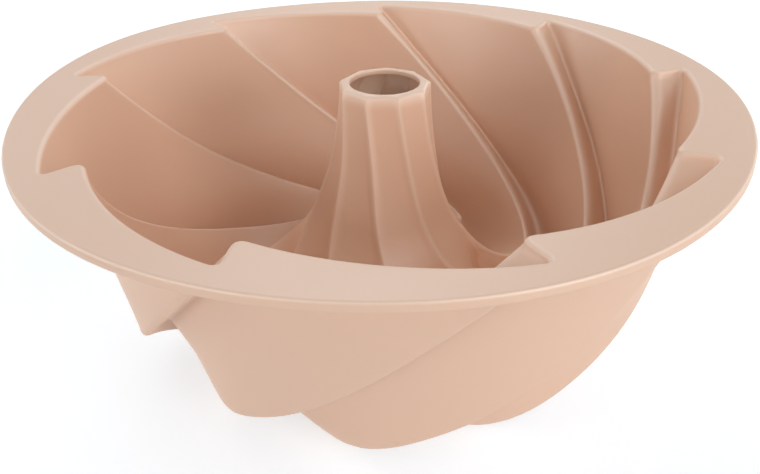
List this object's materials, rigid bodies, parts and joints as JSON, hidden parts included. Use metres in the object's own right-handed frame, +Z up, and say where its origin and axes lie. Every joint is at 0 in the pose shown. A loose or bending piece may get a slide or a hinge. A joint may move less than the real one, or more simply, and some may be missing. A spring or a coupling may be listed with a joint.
{
  "type": "fluted tube pan",
  "caption": "Round one-piece silicone baking mould with swirling saw-tooth flutes, a flat rim flange and a hollow fluted centre tube.",
  "frame": {"origin": "on the pan's axis, at the table it stands on", "axes": "+Z up along the axis of the tube, out of the mouth; one ridge of the rim's saw-tooth outline lies on +Y"},
  "size_m": [0.2599, 0.26, 0.1085],
  "materials": {
    "silicone": "matte moulded silicone, beige-peach"
  },
  "bodies": {
    "root": {"pan": "silicone"}
  },
  "joints": []
}
